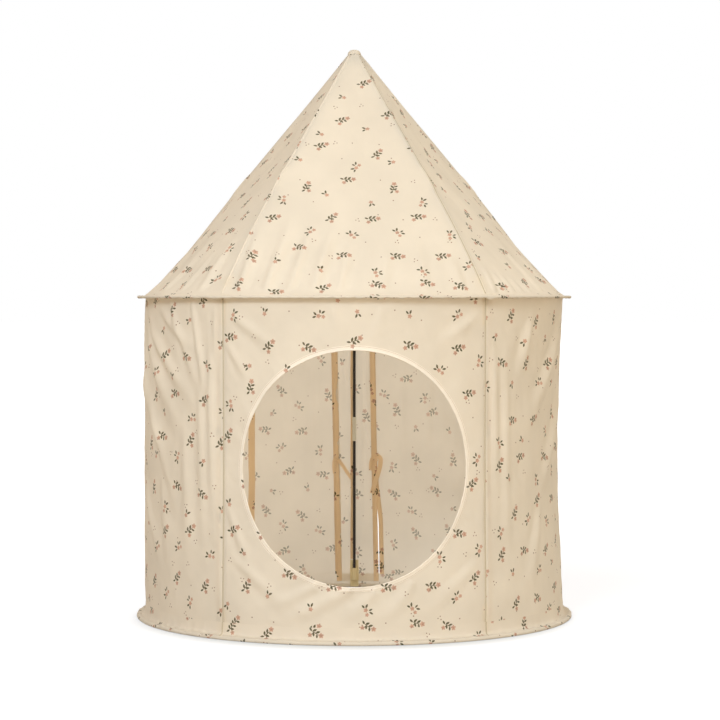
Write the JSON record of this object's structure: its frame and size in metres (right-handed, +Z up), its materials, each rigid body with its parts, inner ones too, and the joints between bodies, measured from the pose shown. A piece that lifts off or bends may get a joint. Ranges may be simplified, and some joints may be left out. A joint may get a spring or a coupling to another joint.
{
  "type": "pop-up play tent",
  "caption": "Round child's play tent of printed cotton on folding poles, with a round doorway, tied rear curtains and a five-sided pointed roof that both fold flat",
  "frame": {"origin": "on the floor, under the apex, at the centre of the base hoop", "axes": "+Z up, the round doorway faces -Y, +X to the viewer's right when looking at the doorway"},
  "size_m": [1, 1, 1.3],
  "materials": {
    "cotton": "plain-woven cotton with a small all-over print of blossoms",
    "binding": "bias tape of the same cloth, edge-stitched",
    "webbing": "tan woven tape",
    "black_rod": "black glass-fibre rod",
    "ferrule": "satin grey-brown sleeve",
    "spring_steel": "plain spring wire",
    "hub_plastic": "black moulded plastic"
  },
  "bodies": {
    "base": {"base_hem": "cotton", "base_hoop": "spring_steel", "front_panel": "cotton", "door_binding": "binding", "side_panel_left": "cotton", "side_panel_right": "cotton", "rear_panel_left": "cotton", "rear_panel_right": "cotton", "rear_strip": "cotton", "strip_tie_left": "cotton", "strip_tie_right": "cotton", "foot_pocket_back": "webbing", "foot_pocket_front_left": "webbing", "foot_pocket_front_right": "webbing", "foot_pocket_side_left": "webbing", "foot_pocket_side_right": "webbing"},
    "wall_pole_lower_back": {"wall_rod_lower_back": "black_rod"},
    "wall_pole_upper_back": {"wall_rod_upper_back": "black_rod", "wall_ferrule_back": "ferrule"},
    "wall_pole_lower_front_left": {"wall_rod_lower_front_left": "black_rod", "wall_ferrule_front_left": "ferrule"},
    "wall_pole_upper_front_left": {"wall_rod_upper_front_left": "black_rod"},
    "wall_pole_lower_front_right": {"wall_rod_lower_front_right": "black_rod", "wall_ferrule_front_right": "ferrule"},
    "wall_pole_upper_front_right": {"wall_rod_upper_front_right": "black_rod"},
    "wall_pole_lower_side_left": {"wall_rod_lower_side_left": "black_rod", "wall_ferrule_side_left": "ferrule"},
    "wall_pole_upper_side_left": {"wall_rod_upper_side_left": "black_rod"},
    "wall_pole_lower_side_right": {"wall_rod_lower_side_right": "black_rod", "wall_ferrule_side_right": "ferrule"},
    "wall_pole_upper_side_right": {"wall_rod_upper_side_right": "black_rod"},
    "eave": {"eave_brim": "cotton", "eave_hoop": "spring_steel", "roof_canopy": "cotton", "eave_pocket_back": "webbing", "eave_pocket_front_left": "webbing", "eave_pocket_front_right": "webbing", "eave_pocket_side_left": "webbing", "eave_pocket_side_right": "webbing"},
    "hub": {"apex_hub": "hub_plastic"},
    "roof_pole_upper_back": {"roof_rod_upper_back": "black_rod"},
    "roof_pole_lower_back": {"roof_rod_lower_back": "black_rod", "roof_ferrule_back": "ferrule"},
    "roof_pole_upper_front_left": {"roof_rod_upper_front_left": "black_rod"},
    "roof_pole_lower_front_left": {"roof_rod_lower_front_left": "black_rod", "roof_ferrule_front_left": "ferrule"},
    "roof_pole_upper_front_right": {"roof_rod_upper_front_right": "black_rod"},
    "roof_pole_lower_front_right": {"roof_rod_lower_front_right": "black_rod", "roof_ferrule_front_right": "ferrule"},
    "roof_pole_upper_side_left": {"roof_rod_upper_side_left": "black_rod"},
    "roof_pole_lower_side_left": {"roof_rod_lower_side_left": "black_rod", "roof_ferrule_side_left": "ferrule"},
    "roof_pole_upper_side_right": {"roof_rod_upper_side_right": "black_rod"},
    "roof_pole_lower_side_right": {"roof_rod_lower_side_right": "black_rod", "roof_ferrule_side_right": "ferrule"},
    "curtain_left": {"curtain_left": "cotton", "curtain_tie_left": "cotton"},
    "curtain_right": {"curtain_right": "cotton", "curtain_tie_right": "cotton"}
  },
  "joints": [
    {"name": "wall_fold", "type": "hinge", "parent": "base", "child": "wall_pole_lower_back", "pos_m": [0, 0.475, 0.02], "axis": [1, 0, 0], "range_deg": [0, 85], "deforming": ["front_panel", "door_binding", "side_panel_left", "side_panel_right", "rear_panel_left", "rear_panel_right", "rear_strip", "strip_tie_left", "strip_tie_right", "curtain_left", "curtain_right", "curtain_tie_left", "curtain_tie_right", "foot_pocket_back", "foot_pocket_front_left", "foot_pocket_front_right", "foot_pocket_side_left", "foot_pocket_side_right", "eave_pocket_back", "eave_pocket_front_left", "eave_pocket_front_right", "eave_pocket_side_left", "eave_pocket_side_right"]},
    {"name": "wall_knee_back", "type": "hinge", "parent": "wall_pole_lower_back", "child": "wall_pole_upper_back", "pos_m": [0, 0.475, 0.37], "axis": [1, 0, 0], "range_deg": [-170, 0]},
    {"name": "foot_fold_front_left", "type": "hinge", "parent": "base", "child": "wall_pole_lower_front_left", "pos_m": [-0.2792, -0.38428, 0.02], "axis": [-0.809, 0.5878, 0], "range_deg": [0, 85]},
    {"name": "wall_knee_front_left", "type": "hinge", "parent": "wall_pole_lower_front_left", "child": "wall_pole_upper_front_left", "pos_m": [-0.2792, -0.38428, 0.37], "axis": [-0.809, 0.5878, 0], "range_deg": [-170, 0]},
    {"name": "foot_fold_front_right", "type": "hinge", "parent": "base", "child": "wall_pole_lower_front_right", "pos_m": [0.2792, -0.38428, 0.02], "axis": [-0.809, -0.5878, 0], "range_deg": [0, 85]},
    {"name": "wall_knee_front_right", "type": "hinge", "parent": "wall_pole_lower_front_right", "child": "wall_pole_upper_front_right", "pos_m": [0.2792, -0.38428, 0.37], "axis": [-0.809, -0.5878, 0], "range_deg": [-170, 0]},
    {"name": "foot_fold_side_left", "type": "hinge", "parent": "base", "child": "wall_pole_lower_side_left", "pos_m": [-0.45175, 0.14678, 0.02], "axis": [0.309, 0.9511, 0], "range_deg": [0, 85]},
    {"name": "wall_knee_side_left", "type": "hinge", "parent": "wall_pole_lower_side_left", "child": "wall_pole_upper_side_left", "pos_m": [-0.45175, 0.14678, 0.37], "axis": [0.309, 0.9511, 0], "range_deg": [-170, 0]},
    {"name": "foot_fold_side_right", "type": "hinge", "parent": "base", "child": "wall_pole_lower_side_right", "pos_m": [0.45175, 0.14678, 0.02], "axis": [0.309, -0.9511, 0], "range_deg": [0, 85]},
    {"name": "wall_knee_side_right", "type": "hinge", "parent": "wall_pole_lower_side_right", "child": "wall_pole_upper_side_right", "pos_m": [0.45175, 0.14678, 0.37], "axis": [0.309, -0.9511, 0], "range_deg": [-170, 0]},
    {"name": "eave_level", "type": "hinge", "parent": "wall_pole_upper_back", "child": "eave", "pos_m": [0, 0.475, 0.72], "axis": [1, 0, 0], "range_deg": [0, 85]},
    {"name": "roof_fold", "type": "slide", "parent": "eave", "child": "hub", "axis": [0, 0, -1], "range_m": [0, 0.48], "deforming": ["roof_canopy", "eave_pocket_back", "eave_pocket_front_left", "eave_pocket_front_right", "eave_pocket_side_left", "eave_pocket_side_right"]},
    {"name": "hub_fold_back", "type": "hinge", "parent": "hub", "child": "roof_pole_upper_back", "pos_m": [0, 0.02, 1.25999], "axis": [1, 0, 0], "range_deg": [0, 41.6]},
    {"name": "roof_knee_back", "type": "hinge", "parent": "roof_pole_upper_back", "child": "roof_pole_lower_back", "pos_m": [0, 0.24628, 1.01024], "axis": [1, 0, 0], "range_deg": [-172, 0]},
    {"name": "hub_fold_front_left", "type": "hinge", "parent": "hub", "child": "roof_pole_upper_front_left", "pos_m": [-0.01176, -0.01618, 1.25999], "axis": [-0.809, 0.5878, 0], "range_deg": [0, 41.6]},
    {"name": "roof_knee_front_left", "type": "hinge", "parent": "roof_pole_upper_front_left", "child": "roof_pole_lower_front_left", "pos_m": [-0.14476, -0.19925, 1.01024], "axis": [-0.809, 0.5878, 0], "range_deg": [-172, 0]},
    {"name": "hub_fold_front_right", "type": "hinge", "parent": "hub", "child": "roof_pole_upper_front_right", "pos_m": [0.01176, -0.01618, 1.25999], "axis": [-0.809, -0.5878, 0], "range_deg": [0, 41.6]},
    {"name": "roof_knee_front_right", "type": "hinge", "parent": "roof_pole_upper_front_right", "child": "roof_pole_lower_front_right", "pos_m": [0.14476, -0.19925, 1.01024], "axis": [-0.809, -0.5878, 0], "range_deg": [-172, 0]},
    {"name": "hub_fold_side_left", "type": "hinge", "parent": "hub", "child": "roof_pole_upper_side_left", "pos_m": [-0.01902, 0.00618, 1.25999], "axis": [0.309, 0.9511, 0], "range_deg": [0, 41.6]},
    {"name": "roof_knee_side_left", "type": "hinge", "parent": "roof_pole_upper_side_left", "child": "roof_pole_lower_side_left", "pos_m": [-0.23423, 0.07611, 1.01024], "axis": [0.309, 0.9511, 0], "range_deg": [-172, 0]},
    {"name": "hub_fold_side_right", "type": "hinge", "parent": "hub", "child": "roof_pole_upper_side_right", "pos_m": [0.01902, 0.00618, 1.25999], "axis": [0.309, -0.9511, 0], "range_deg": [0, 41.6]},
    {"name": "roof_knee_side_right", "type": "hinge", "parent": "roof_pole_upper_side_right", "child": "roof_pole_lower_side_right", "pos_m": [0.23423, 0.07611, 1.01024], "axis": [0.309, -0.9511, 0], "range_deg": [-172, 0]},
    {"name": "curtain_left_swing", "type": "hinge", "parent": "base", "child": "curtain_left", "pos_m": [-0.24885, 0.40929, 0.038], "axis": [0, 0, 1], "range_deg": [0, 100]},
    {"name": "curtain_right_swing", "type": "hinge", "parent": "base", "child": "curtain_right", "pos_m": [0.24885, 0.40929, 0.038], "axis": [0, 0, -1], "range_deg": [0, 100]}
  ],
  "couplings": [
    {"joint": "wall_knee_back", "follows": "wall_fold", "ratio": -2},
    {"joint": "foot_fold_front_left", "follows": "wall_fold", "ratio": 1},
    {"joint": "wall_knee_front_left", "follows": "wall_fold", "ratio": -2},
    {"joint": "foot_fold_front_right", "follows": "wall_fold", "ratio": 1},
    {"joint": "wall_knee_front_right", "follows": "wall_fold", "ratio": -2},
    {"joint": "foot_fold_side_left", "follows": "wall_fold", "ratio": 1},
    {"joint": "wall_knee_side_left", "follows": "wall_fold", "ratio": -2},
    {"joint": "foot_fold_side_right", "follows": "wall_fold", "ratio": 1},
    {"joint": "wall_knee_side_right", "follows": "wall_fold", "ratio": -2},
    {"joint": "eave_level", "follows": "wall_fold", "ratio": 1},
    {"joint": "hub_fold_back", "follows": "roof_fold", "rad_per_m": 1.5126},
    {"joint": "roof_knee_back", "follows": "roof_fold", "rad_per_m": -6.254},
    {"joint": "hub_fold_front_left", "follows": "roof_fold", "rad_per_m": 1.5126},
    {"joint": "roof_knee_front_left", "follows": "roof_fold", "rad_per_m": -6.254},
    {"joint": "hub_fold_front_right", "follows": "roof_fold", "rad_per_m": 1.5126},
    {"joint": "roof_knee_front_right", "follows": "roof_fold", "rad_per_m": -6.254},
    {"joint": "hub_fold_side_left", "follows": "roof_fold", "rad_per_m": 1.5126},
    {"joint": "roof_knee_side_left", "follows": "roof_fold", "rad_per_m": -6.254},
    {"joint": "hub_fold_side_right", "follows": "roof_fold", "rad_per_m": 1.5126},
    {"joint": "roof_knee_side_right", "follows": "roof_fold", "rad_per_m": -6.254}
  ]
}
